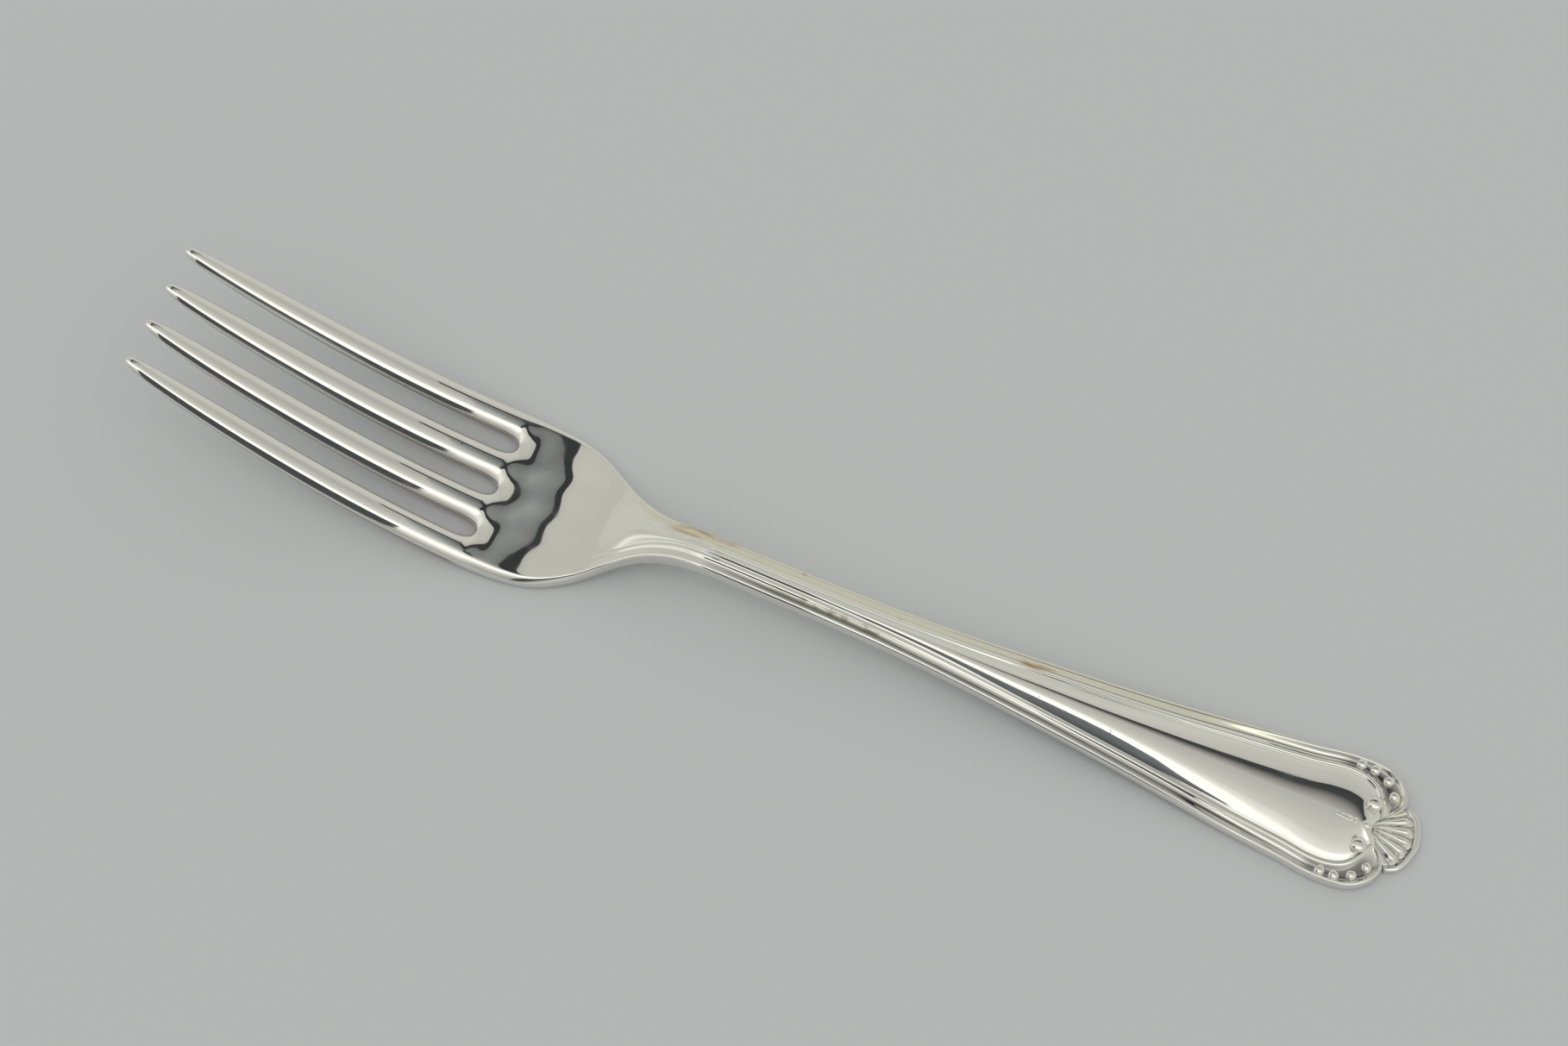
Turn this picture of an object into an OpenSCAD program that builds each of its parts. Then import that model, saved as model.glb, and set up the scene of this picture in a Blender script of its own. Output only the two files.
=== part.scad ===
// Dinner fork with a threaded border, beads and a shell at the end of the handle.
// It lies with its tines up: +X runs from the tine tips to the handle's end,
// +Z is up from the table, and the origin is under the middle of the fork.

/* [Overall] */
// Length from the tine tips to the end of the shell
overall_l = 205; // [190:1:215]
// Width across the root, where the four tines meet
root_w = 27.2; // [24:0.1:30]
// Width of the neck at its narrowest
neck_w = 5.8; // [5.2:0.1:7]
// Width of the handle at its shoulders
handle_w = 21.3; // [18:0.1:24]

/* [Side line] */
// Height of the middle of the metal at the tine tips
tip_h = 21; // [16:0.1:25]
// Height of the middle of the metal at the neck
neck_h = 7.6; // [5:0.1:10]
// Distance from the tips to the heel, where the root touches the table
heel_x = 67; // [64:0.5:69]
// Distance from the tips to the top of the neck
neck_x = 90; // [86:0.5:94]
// Length of the flat end of the handle, from its touching point to the shell's edge
end_l = 19; // [18:0.1:21]

/* [Metal] */
// Thickness at the tine tips
tip_t = 1.5; // [1.2:0.1:2]
// Thickness at the root
root_t = 2.4; // [2:0.1:3]
// Thickness at the neck
neck_t = 3; // [2.5:0.1:3.6]
// Thickness of the handle at its border
handle_t = 1.8; // [1.5:0.1:2.2]
// Height of the raised panel's crown above the border
crown_h = 0.9; // [0.4:0.1:1.4]
// Depth of the shallow dish in the root
dish_h = 0.4; // [0.1:0.1:0.8]
// Roundness of the outer edges
edge_r = 0.35; // [0.2:0.05:0.5]

/* [Tines] */
// Distance between the middles of two slots
slot_pitch = 7.75; // [7.4:0.05:8]
// Width of a slot at its round end
slot_w = 3.45; // [3:0.05:3.8]
// Distance from the tips to the round ends of the slots
slot_end_x = 57.6; // [57.5:0.1:60]
// Length of a tine from its tip to the round ends of the slots
tine_l = 55; // [52:0.5:55.5]
// Distance between two neighbouring tine tips
tip_pitch = 6.8; // [6.2:0.05:7.4]

/* [Border] */
// Width of the outer rim thread on the handle
rim_w = 0.75; // [0.6:0.05:1]
// Width of the sunk channel inside the rim
channel_w = 1.7; // [1.5:0.05:1.9]
// Depth of the channel below the rim
channel_h = 0.45; // [0.3:0.05:0.6]
// Width of the inner thread that frames the panel
thread_w = 0.75; // [0.5:0.05:1]
// Share of these widths that is left on the narrow stem
stem_share = 0.72; // [0.6:0.01:0.8]

/* [Ornament] */
// Diameter of a bead in the channel
bead_d = 1.4; // [1.1:0.05:1.5]
// Diameter of a scroll eye
eye_d = 2.1; // [1.6:0.05:2.3]
// Number of flutes in the shell
flutes = 7; // [5:2:9]
// Height of the flutes above the shell's grooves
flute_h = 0.6; // [0.3:0.05:0.8]
// Width of the plain rim round the shell
shell_rim_w = 1; // [0.8:0.05:1.2]
// Half the angle that the shell fans out to
shell_angle = 53; // [48:1:56]
// Length of the small dart on the panel's middle line
dart_l = 3.4; // [2.4:0.1:4]
// Width of the dart
dart_w = 0.7; // [0.5:0.05:0.9]

/* [Hidden] */
silver = [0.80, 0.80, 0.77];
silver_shade = [0.70, 0.70, 0.67];
silver_bright = [0.88, 0.88, 0.85];

// Places along the fork where one region meets the next
shoulder_share = 0.22;
neck_run_share = 1.2;
grip_share = 0.6;
hub_share = 0.59;
shoulder_x = lerp(heel_x, neck_x, shoulder_share);
neck_end_x = neck_x + neck_run_share * neck_w;
end_x = overall_l - end_l;
grip_x = lerp(neck_x, end_x, grip_share);
hub_x = end_x + hub_share * end_l;
$fn = 48;

// Side line: heights of the middle of the metal, from the tips to the end.
// The first number is a share of a stretch, the second a share of its rise.
tine_rise_shares = [[0, 1], [0.15, 0.75], [0.27, 0.565], [0.39, 0.395], [0.51, 0.25], [0.63, 0.135],
                    [0.75, 0.055], [0.87, 0.012], [0.95, 0]];
neck_rise_shares = [[0, 0], [0.24, 0.09], [0.43, 0.4], [0.62, 0.71], [0.81, 0.92], [1, 1]];
stem_drop_shares = [[0.1, 0.935], [0.3, 0.76], [0.5, 0.53], [0.7, 0.28], [0.85, 0.11], [1, 0]];
side_line = concat(
    [for (s = tine_rise_shares) [s[0] * heel_x, lerp(root_t / 2, tip_h, s[1])]],
    [for (s = neck_rise_shares) [lerp(heel_x, neck_x, s[0]), lerp(root_t / 2, neck_h, s[1])]],
    [for (s = stem_drop_shares) [lerp(neck_x, end_x, s[0]), lerp(handle_t / 2, neck_h, s[1])]],
    [[overall_l, handle_t / 2]]);

// Outline: half the width from the root to the handle's end
shoulder_width_shares = [[0, 1], [0.12, 0.985], [0.235, 0.94], [0.353, 0.82], [0.47, 0.6], [0.588, 0.33],
                         [0.706, 0.125], [0.824, 0.035], [0.92, 0.005]];
grip_width_shares = [[0, 0], [0.1, 0.01], [0.2, 0.02], [0.3, 0.05], [0.4, 0.11], [0.5, 0.205], [0.6, 0.315],
                     [0.7, 0.44], [0.8, 0.59], [0.9, 0.755], [1, 0.89]];
outline = concat(
    [[tine_l, root_w / 2]],
    [for (s = shoulder_width_shares) [lerp(slot_end_x, neck_x, s[0]), lerp(neck_w / 2, root_w / 2, s[1])]],
    [for (s = grip_width_shares) [lerp(neck_x, end_x, s[0]), lerp(neck_w / 2, handle_w / 2, s[1])]]);

// Thickness along the fork, over the tines, the neck and the handle
tine_metal_shares = [[0, 0], [0.5, 0.6], [1, 1]];
neck_metal_shares = [[shoulder_share, 0], [0.6, 1], [1, 1]];
handle_metal_shares = [[grip_share, 0.7], [1, 1]];
metal = concat(
    [for (s = tine_metal_shares) [s[0] * tine_l, lerp(tip_t, root_t, s[1])]],
    [for (s = neck_metal_shares) [lerp(heel_x, neck_x, s[0]), lerp(root_t, neck_t, s[1])]],
    [for (s = handle_metal_shares) [lerp(neck_x, end_x, s[0]), lerp(neck_t, handle_t, s[1])]],
    [[overall_l, handle_t]]);

// Half width of a tine as a share of its width at the root, along the tine
tine_taper_shares = [[0, 0.12], [0.005, 0.26], [0.018, 0.4], [0.05, 0.5], [0.11, 0.59], [0.22, 0.71],
                     [0.36, 0.83], [0.55, 0.93], [0.76, 0.99], [1, 1]];
// Half thickness of a tine near its rounded tip, as a share of the metal there
tip_round_shares = [[0, 0.25], [0.006, 0.55], [0.02, 0.85], [0.06, 1], [1, 1]];
// Round section of a tine, as shares of its half width and half thickness
tine_section_shares = [[-1, -0.25], [-1, 0.3], [-0.8, 0.75], [-0.4, 0.97], [0, 1], [0.4, 0.97], [0.8, 0.75],
                       [1, 0.3], [1, -0.25], [0.8, -0.8], [0.4, -1], [-0.4, -1], [-0.8, -0.8]];

function lerp(a, b, t) = a + (b - a) * t;
function clamp01(t) = min(1, max(0, t));
function ease(t) = let (c = clamp01(t)) c * c * (3 - 2 * c);

// Smooth curve through a list of [place, value] knots
function knot_at(k, x, i = 0) = (i >= len(k) - 2 || x < k[i + 1][0]) ? i : knot_at(k, x, i + 1);
function knot_slope(k, i) = let (a = max(0, i - 1), b = min(len(k) - 1, i + 1))
    (k[b][1] - k[a][1]) / (k[b][0] - k[a][0]);
function along(k, x) = let (i = knot_at(k, x), w = k[i + 1][0] - k[i][0], t = clamp01((x - k[i][0]) / w),
    t2 = t * t, t3 = t2 * t)
    (2 * t3 - 3 * t2 + 1) * k[i][1] + (t3 - 2 * t2 + t) * w * knot_slope(k, i)
    + (3 * t2 - 2 * t3) * k[i + 1][1] + (t3 - t2) * w * knot_slope(k, i + 1);

function mid_z(x) = along(side_line, x);
function thick(x) = along(metal, x);
function half_w(x) = along(outline, x);
function top_z(x) = mid_z(x) + thick(x) / 2;
function low_z(x) = max(0, mid_z(x) - thick(x) / 2);

// Solid through a list of closed rings with the same number of points
function ring_sides(rings, n) = [for (i = [0 : rings - 2], j = [0 : n - 1])
    let (a = i * n + j, b = i * n + (j + 1) % n)
    each [[a, b, b + n], [a, b + n, a + n]]];
module loft(rings) {
    n = len(rings[0]);
    last = (len(rings) - 1) * n;
    polyhedron(
        points = [for (r = rings) each r],
        faces = concat([[for (j = [n - 1 : -1 : 0]) j]], ring_sides(len(rings), n), [[for (j = [0 : n - 1]) last + j]]),
        convexity = 6);
}
module in_place() {
    translate([-overall_l / 2, 0, 0]) children();
}

// Tines: each is a tapered bar with a round crown, bent along the side line
inner_y = slot_pitch / 2;
inner_half = (slot_pitch - slot_w) / 2;
outer_y = (slot_pitch + slot_w / 2 + root_w / 2) / 2;
outer_half = (root_w / 2 - slot_pitch - slot_w / 2) / 2;
tine_step_shares = [0, 0.006, 0.02, 0.06, 0.12, 0.2, 0.3, 0.4, 0.5, 0.6, 0.7, 0.8, 0.9, 1];
tine_bow_share = 0.35;
function tine_ring(u, tip_y, root_y, half) = let (
    x = u * tine_l,
    y = lerp(tip_y, root_y, 1 - (1 - u) * (1 - tine_bow_share * u)),
    w = half * along(tine_taper_shares, u),
    t = thick(x) / 2 * along(tip_round_shares, u))
    [for (s = tine_section_shares) [x, y + s[0] * w, mid_z(x) + s[1] * t]];
module tine(tip_y, root_y, half) {
    color(silver_bright)
        in_place()
            loft([for (u = tine_step_shares) tine_ring(u, tip_y, root_y, half)]);
}
module tine_1() {
    tine(1.5 * tip_pitch, outer_y, outer_half);
}
module tine_2() {
    tine(0.5 * tip_pitch, inner_y, inner_half);
}
module tine_3() {
    tine(-0.5 * tip_pitch, -inner_y, inner_half);
}
module tine_4() {
    tine(-1.5 * tip_pitch, -outer_y, outer_half);
}

// Root: the dished palm behind the tines, with the round ends of the three slots
palm_shares = [-1, -0.8, -0.55, -0.27, 0, 0.27, 0.55, 0.8, 1];
belly_flat_share = 0.4;
belly_shares = [1, 0.8, 0.6, belly_flat_share, 0, -belly_flat_share, -0.6, -0.8, -1];
belly_lift_share = 0.45;
function belly_rise(s) = belly_lift_share * pow(max(0, abs(s) - belly_flat_share) / (1 - belly_flat_share), 2);
function palm_ring(x) = let (w = half_w(x), t = thick(x), up = top_z(x),
    dish = dish_h * ease((x - tine_l) / (heel_x - tine_l)) * ease((shoulder_x - x) / (shoulder_x - heel_x)))
    concat(
        [for (s = palm_shares) [x, s * w, up - dish * (1 - s * s) - (abs(s) == 1 ? edge_r : 0)]],
        [for (s = belly_shares) [x, s * w, low_z(x) + t * belly_rise(s)]]);
module root() {
    root_steps = 11;
    overrun = slot_w;
    color(silver)
        in_place()
            difference() {
                loft([for (i = [0 : root_steps]) palm_ring(lerp(tine_l, shoulder_x, i / root_steps))]);
                for (y = [-slot_pitch, 0, slot_pitch]) {
                    translate([slot_end_x - slot_w / 2, y, -overrun])
                        cylinder(h = tip_h + overrun, d = slot_w);
                    translate([tine_l - overrun, y - slot_w / 2, -overrun])
                        cube([slot_end_x - slot_w / 2 - tine_l + overrun, slot_w, tip_h + overrun]);
                }
            }
}

// Bordered blank: rim thread, sunk channel, inner thread and raised panel, from the edge to the middle.
// Each entry of the half profile is [distance from the edge, height above the border].
border_total = rim_w + channel_w + thread_w;
rim_top_shares = [0.3, 0.8];
slope_share = 0.3;
lip_share = 0.25;
groove_share = 0.5;
panel_shares = [[0.6, 0.85], [0.85, 1], [1, 1]];
stem_fill_share = 0.9;
function border_scale(w) = lerp(stem_share, 1, ease((w - neck_w / 2) / (handle_w / 2 - neck_w / 2)))
    * min(1, w * stem_fill_share / (border_total * stem_share));
function half_profile(reach, fit, relief) = let (
    rim = rim_w * fit, channel = rim + channel_w * fit, thread = border_total * fit,
    slope = rim * slope_share, deep = -channel_h * relief, lip = -edge_r * lip_share * relief)
    concat(
        [[0, -edge_r], [rim * rim_top_shares[0], 0], [rim * rim_top_shares[1], 0],
         [rim + slope, deep], [channel - slope, deep], [channel, lip],
         [thread - slope / 2, lip], [thread, deep * groove_share]],
        [for (s = panel_shares) [lerp(thread, reach, s[0]), crown_h * relief * s[1]]]);
// Ring of the bordered blank between an edge point and a point on the middle line.
// Its underside is flat but for the rounded edge, which hollow lifts off the table.
function border_ring(edge, middle, z, t, fit, relief, hollow) = let (
    reach = norm(edge - middle), out = (edge - middle) / reach,
    half = half_profile(reach, fit, relief), m = len(half),
    foot = middle + out * (reach - edge_r), low = z - t + hollow)
    concat(
        [for (i = [0 : m - 1]) let (p = middle + out * (reach - half[i][0])) [p[0], -p[1], z + half[i][1]]],
        [for (i = [m - 2 : -1 : 0]) let (p = middle + out * (reach - half[i][0])) [p[0], p[1], z + half[i][1]]],
        [[edge[0], edge[1], low + edge_r], [foot[0], foot[1], low], [middle[0], 0, z - t],
         [foot[0], -foot[1], low], [edge[0], -edge[1], low + edge_r]]);
top_count = 2 * len(half_profile(1, 1, 1)) - 1;

// Shaft: the neck, the stem and the grip are stretches of one blank that widens to the handle's end
hollow_share = 0.2;
relief_run_share = 0.5;
function shaft_ring(x) = let (w = half_w(x), t = top_z(x) - low_z(x))
    border_ring([x, w], [x, 0], top_z(x), t, border_scale(w),
                ease((x - shoulder_x) / (relief_run_share * (neck_x - shoulder_x))),
                hollow_share * t * (1 - ease((x - grip_x) / (end_x - grip_x))));
module shaft(from, to, steps) {
    in_place()
        loft([for (i = [0 : steps]) shaft_ring(lerp(from, to, i / steps))]);
}
module neck() {
    color(silver)
        shaft(shoulder_x, neck_end_x, 14);
}
module stem() {
    color(silver_bright)
        shaft(neck_end_x, grip_x, 16);
}
module grip() {
    color(silver)
        shaft(grip_x, end_x, 9);
}

// Handle's end: the border turns round the shoulders and runs in beside the shell to its hub.
// Edge points are shares of the end's length and of half the handle's width.
turn_shares = [[0.1, 0.948], [0.2, 0.977], [0.32, 0.993], [0.42, 1], [0.5, 0.993], [0.58, 0.964],
               [0.65, 0.913], [0.705, 0.838], [0.75, 0.742], [0.78, 0.648]];
notch_share = 0.8;
notch_x = lerp(end_x, overall_l, notch_share);
notch = [notch_x, (notch_x - hub_x) * tan(shell_angle)];
hub_gap = dart_w / 2;
hub_edge = [hub_x + hub_gap / tan(shell_angle), hub_gap];
inward_steps = 5;
end_edges = concat(
    [[end_x, half_w(end_x)]],
    [for (s = turn_shares) [end_x + s[0] * end_l, s[1] * handle_w / 2]],
    [for (i = [0 : inward_steps]) lerp(notch, hub_edge, i / inward_steps)]);
end_count = len(end_edges);
// The rings' middle points end at a share of the way to the hub, and crowd towards it by a power
middle_share = 0.86;
middle_power = 2;
// The border narrows along the shell from its full width at the notch to a share of it at the hub
narrow_share = 0.12;
narrow_run_share = 0.87;
function end_middle(i) =
    [lerp(end_x, hub_x, middle_share * (1 - pow(1 - i / (end_count - 1), middle_power))), 0];
function end_fit(i) =
    lerp(1, narrow_share, clamp01((i - (end_count - 1 - inward_steps)) / (narrow_run_share * inward_steps)));
function end_ring(i) = border_ring(end_edges[i], end_middle(i), handle_t, handle_t, end_fit(i), 1, 0);
// Loft whose last ring is folded onto the middle line and closed by strips from side to side
module folded_loft(rings) {
    n = len(rings[0]);
    last = (len(rings) - 1) * n;
    m = (top_count - 1) / 2;
    polyhedron(
        points = [for (r = rings) each r],
        faces = concat(
            [[for (j = [n - 1 : -1 : 0]) j]],
            ring_sides(len(rings), n),
            [for (j = [0 : m - 1]) let (a = last + j, b = last + top_count - 1 - j)
                each (j < m - 1 ? [[a, a + 1, b - 1], [a, b - 1, b]] : [[a, a + 1, b]])],
            [let (a = last + top_count, e = last + n - 1)
                each [[a, a + 1, e - 1], [a, e - 1, e], [a + 1, a + 2, e - 1]]],
            [[last, last + top_count - 1, last + top_count], [last, last + top_count, last + n - 1]]),
        convexity = 6);
}
module handle_end() {
    color(silver_bright)
        in_place()
            folded_loft([for (i = [0 : end_count - 1]) end_ring(i)]);
}

// Shell: a fan of flutes between the two scrolls of the border
flute_steps = 6;
shell_columns = flutes * flute_steps;
fan_share = 0.86;
fan_angle = fan_share * shell_angle;
flute_angle = 2 * fan_angle / flutes;
shell_end_r = overall_l - hub_x;
shell_side_r = norm(notch - [hub_x, 0]);
shell_round_share = 5;
flute_swell_shares = [[0, 0.35], [0.2, 0.6], [0.45, 0.85], [0.7, 1], [0.9, 0.8], [1, 0]];
function shell_r(a) = lerp(shell_end_r, shell_side_r, pow(abs(a) / shell_angle, shell_round_share));
function flute(a) = abs(a) > fan_angle ? 0 : abs(cos(180 * a / flute_angle));
function shell_ring(a) = let (
    r0 = (hub_edge[0] - hub_x) / cos(a), r2 = shell_r(a), r1 = r2 - shell_rim_w, up = handle_t - edge_r)
    [for (p = concat(
        [for (s = flute_swell_shares) [lerp(r0, r1, s[0]), up + flute_h * flute(a) * s[1]]],
        [[r2 - shell_rim_w / 2, handle_t], [r2 - edge_r, handle_t], [r2, handle_t - edge_r],
         [r2, edge_r], [r2 - edge_r, 0], [r0, 0]]))
     [hub_x + p[0] * cos(a), p[0] * sin(a), p[1]]];
module shell() {
    color(silver)
        in_place()
            loft([for (i = [0 : shell_columns]) shell_ring(lerp(shell_angle, -shell_angle, i / shell_columns))]);
}

// Dome with a flat base of the given diameter and the given height
module dome(d, h) {
    r = (d * d / 4 + h * h) / (2 * h);
    intersection() {
        translate([0, 0, h - r])
            sphere(r);
        translate([-d, -d, 0])
            cube([2 * d, 2 * d, 2 * h]);
    }
}
module both_sides() {
    for (side = [-1, 1])
        scale([1, side, 1])
            children();
}

// Place on the handle's end: a share of the way round its edge, and a distance in from the edge.
// It gives the point and the direction from the middle line out to the edge.
function turn(s) = let (t = s * (end_count - 1), i = floor(t))
    [lerp(end_edges[i], end_edges[i + 1], t - i), lerp(end_middle(i), end_middle(i + 1), t - i)];
function turn_out(s) = let (e = turn(s)) (e[0] - e[1]) / norm(e[0] - e[1]);
function turn_in(s, distance) = turn(s)[0] - turn_out(s) * distance;

// Beads: four on each side, seated on the floor of the channel where it turns round the shoulder
bead_turn_shares = [0.22, 0.312, 0.43, 0.56];
bead_height_share = 0.42;
module beads() {
    color(silver_bright)
        in_place()
            both_sides()
                for (s = bead_turn_shares)
                    translate([for (c = turn_in(s, rim_w + channel_w / 2)) c])
                        translate([0, 0, handle_t - channel_h])
                            dome(bead_d, bead_d * bead_height_share);
}

// Scroll eyes: a round boss in each corner of the panel, leaning with the panel's slope
eye_turn_share = 0.56;
eye_in_share = 0.34;
eye_height_share = 0.33;
eye_edge = turn(eye_turn_share);
eye_span = norm(eye_edge[0] - eye_edge[1]) - border_total;
eye_place = turn_in(eye_turn_share, border_total + eye_in_share * eye_span);
eye_dir = turn_out(eye_turn_share);
slope_rise = crown_h * panel_shares[0][1] + channel_h * groove_share;
slope_run = panel_shares[0][0] * eye_span;
eye_z = handle_t - channel_h * groove_share + slope_rise * eye_in_share / panel_shares[0][0];
module scroll_eyes() {
    color(silver_shade)
        in_place()
            both_sides()
                translate([eye_place[0], eye_place[1], eye_z])
                    rotate([0, 0, atan2(eye_dir[1], eye_dir[0])])
                        rotate([0, atan(slope_rise / slope_run), 0])
                            dome(eye_d, eye_d * eye_height_share);
}

// Dart: a small raised arrow on the flat crown of the panel, pointing away from the shell
dart_h = dart_w / 2;
dart_gap_share = 0.6;
dart_x = end_middle(end_count - 1)[0] - dart_gap_share * dart_w - dart_l;
module dart() {
    color(silver_bright)
        in_place()
            translate([dart_x, 0, handle_t + crown_h])
                linear_extrude(dart_h)
                    polygon([[0, 0], [dart_l, -dart_w / 2], [dart_l, dart_w / 2]]);
}

tine_1();
tine_2();
tine_3();
tine_4();
root();
neck();
stem();
grip();
handle_end();
shell();
beads();
scroll_eyes();
dart();
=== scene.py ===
import math

import bpy
from mathutils import Matrix, Vector


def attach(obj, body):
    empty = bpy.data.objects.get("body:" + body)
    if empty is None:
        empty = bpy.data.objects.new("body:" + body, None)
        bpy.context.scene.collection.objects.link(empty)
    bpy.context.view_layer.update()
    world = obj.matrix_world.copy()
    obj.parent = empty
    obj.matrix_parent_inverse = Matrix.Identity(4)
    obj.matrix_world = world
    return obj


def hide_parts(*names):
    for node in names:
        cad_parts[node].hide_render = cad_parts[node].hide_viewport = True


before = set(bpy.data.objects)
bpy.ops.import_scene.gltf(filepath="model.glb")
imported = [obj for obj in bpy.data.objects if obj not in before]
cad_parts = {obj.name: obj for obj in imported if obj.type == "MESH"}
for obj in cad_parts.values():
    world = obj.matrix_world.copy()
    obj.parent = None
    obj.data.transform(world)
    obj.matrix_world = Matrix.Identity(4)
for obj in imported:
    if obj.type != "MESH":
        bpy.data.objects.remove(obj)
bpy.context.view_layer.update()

# Sizes are in millimetres, measured from the tine tips along +X, until they are placed in the frame
MM = 0.001
LENGTH = 205.0
# Subdivision of the blank
LEVELS = 2

# Smooth knots along the fork: (distance from the tips, value)
SPINE = [(0, 21.0), (10, 16.05), (18, 12.4), (26, 9.05), (34.2, 6.15), (42.2, 3.87), (50.2, 2.35),
         (58.3, 1.45), (63.6, 1.2), (67, 1.2), (72.5, 1.78), (76.9, 3.76), (81.3, 5.74),
         (85.6, 7.09), (90, 7.6), (99.6, 7.16), (118.8, 6.0), (138, 4.45), (157.2, 2.78),
         (171.6, 1.64), (186, 0.92), (205, 0.9)]
METAL = [(0, 1.5), (27.5, 2.05), (55, 2.4), (72, 2.4), (80.8, 3.0), (90, 3.0), (147.6, 2.16),
         (186, 1.8), (205, 1.8)]
HALF_WIDTH = [(50, 13.6), (57.6, 13.6), (61.5, 13.44), (65.2, 12.96), (69, 11.67), (72.8, 9.32),
              (76.7, 6.43), (80.5, 4.24), (84.3, 3.27), (87.4, 2.95), (90, 2.9), (99.6, 2.98),
              (109.2, 3.06), (118.8, 3.29), (128.4, 3.75), (138, 4.49), (147.6, 5.35),
              (157.2, 6.31), (166.8, 7.47), (176.4, 8.75), (186, 9.8)]

# Regions of the fork, as stretches between places along it
TINE_END = 55.0
ROOT_END = 72.06
NECK_END = 96.96
STEM_END = 147.6
GRIP_END = 186.0
REGION_ENDS = (TINE_END, ROOT_END, NECK_END, STEM_END, GRIP_END)
REGION_NAMES = ("tines", "root", "neck", "stem", "grip", "handle_end")


def in_frame(x, y, z):
    """Place in the frame, in metres, of a point in millimetres from the tine tips."""
    return Vector(((x - LENGTH / 2) * MM, y * MM, z * MM))


def lerp(a, b, t):
    return a + (b - a) * t


def ease(t):
    t = min(1.0, max(0.0, t))
    return t * t * (3 - 2 * t)


def rise(x, stretch):
    """Goes smoothly from 0 at the start of a stretch to 1 at its end."""
    start, end = stretch
    return ease((x - start) / (end - start))


def fall(x, stretch):
    return 1 - rise(x, stretch)


def along(knots, x):
    """Smooth curve through knots, at x."""
    i = 0
    while i < len(knots) - 2 and x >= knots[i + 1][0]:
        i += 1

    def slope(k):
        a, b = max(0, k - 1), min(len(knots) - 1, k + 1)
        return (knots[b][1] - knots[a][1]) / (knots[b][0] - knots[a][0])

    w = knots[i + 1][0] - knots[i][0]
    t = min(1.0, max(0.0, (x - knots[i][0]) / w))
    t2, t3 = t * t, t * t * t
    return ((2 * t3 - 3 * t2 + 1) * knots[i][1] + (t3 - 2 * t2 + t) * w * slope(i)
            + (3 * t2 - 2 * t3) * knots[i + 1][1] + (t3 - t2) * w * slope(i + 1))


# Columns across half of the blank, from the middle line out to the edge. In the tines a column is a
# place across a tine or a slot, and further back it is a place in the border or on the panel.
COLUMNS = 15
INNER = range(1, 8)
OUTER = range(9, 16)
# Faces from these columns on are left out between the tines
SLOT_COLUMNS = (0, 7, 8)
# Columns across one tine: place, drop of the top and rise of the underside
ACROSS = (-1.0, -0.86, -0.5, 0.0, 0.5, 0.86, 1.0)
CROWN_DROP = (0.95, 0.55, 0.16, 0.0, 0.16, 0.55, 0.95)
BELLY_RISE = (0.42, 0.16, 0.03, 0.0, 0.03, 0.16, 0.42)

# Middle of the inner and the outer tine at the tip and at the root, and their half widths
TIP_INNER, TIP_OUTER = 3.4, 10.2
ROOT_INNER, ROOT_OUTER = 3.875, 11.54
HALF_INNER, HALF_OUTER = 2.3, 2.2
# Place across of an outer slot, and place along of the middle of the slots' round ends
SLOT_Y, SLOT_MIDDLE = 7.75, 53.8
# The tines bow out a little between tip and root
TINE_BOW = 0.35
# Share of a tine's full width, by the distance from its tip
TAPER = [(0, 0.14), (0.3, 0.32), (1.0, 0.47), (2.75, 0.6), (6, 0.71), (12, 0.84), (20, 0.93),
         (30, 0.98), (42, 1.0), (55, 1.0), (70, 1.0)]
# In these columns the crowns flatten where the slots end: (distance from the tips, share left)
SLOT_EDGES = range(14)
SLOT_ROUND = [(53.6, 1), (55, 0.92), (56.3, 0.5), (57.4, 0.14), (58.8, 0.025), (60.5, 0), (80, 0)]
# Rings round a slot's end: (rows past the end, columns from the slot): (radius, turn, drop)
SLOT_RINGS = {(-1, 1): (1.58, 40.6, 0.8), (0, 1): (1.58, 19, 0.8), (0, 0): (1.58, 0, 0.8),
              (-1, 2): (2.3, 58.6, 0.42), (0, 2): (2.3, 38, 0.42), (1, 2): (2.6, 27, 0.3),
              (1, 1): (2.45, 13, 0.34), (1, 0): (2.4, 0, 0.34), (-1, 3): (3.1, 67.2, 0.14),
              (0, 3): (3.1, 50, 0.12), (1, 3): (3.35, 38, 0.08), (2, 3): (3.75, 31, 0.04),
              (2, 2): (3.55, 21, 0.08), (2, 1): (3.45, 10.5, 0.1), (2, 0): (3.4, 0, 0.1)}
# The slots' sides: place across, direction, and columns out from the slot
SLOT_SIDES = ((0.0, 1, (0, 1, 2, 3)), (SLOT_Y, -1, (8, 7, 6, 5)), (SLOT_Y, 1, (8, 9, 10, 11)))
# How far the bend's slope wanders along the fork, by the place across
UNEVEN = [(-14, 1.8), (-9.4, 1.7), (-7.3, -0.5), (-4.5, 0.4), (-2.8, 1.3), (-1, -1.9), (0.8, -0.6),
          (3.5, 0.7), (5.5, -0.5), (7, 0.4), (8.8, 1.5), (10.2, 0.9), (14, 0.4)]
# The tips are rounded: (distance from the tips, share of the full thickness)
TIP_ROUND = [(0, 0.2), (0.3, 0.55), (1.0, 0.8), (2.75, 1.0), (6, 1.0)]

# Border section: distance in from the edge, and height over the border's top
BORDER = {15: (0.0, -0.5), 14: (0.12, -0.31), 13: (0.56, -0.13), 12: (1.0, -0.15),
          11: (1.45, -0.18), 10: (1.8, -0.2), 9: (2.1, -0.215), 8: (2.42, -0.09), 7: (2.8, 0.04),
          6: (3.05, -0.05), 5: (3.3, -0.3), 4: (3.62, -0.04)}
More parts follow.
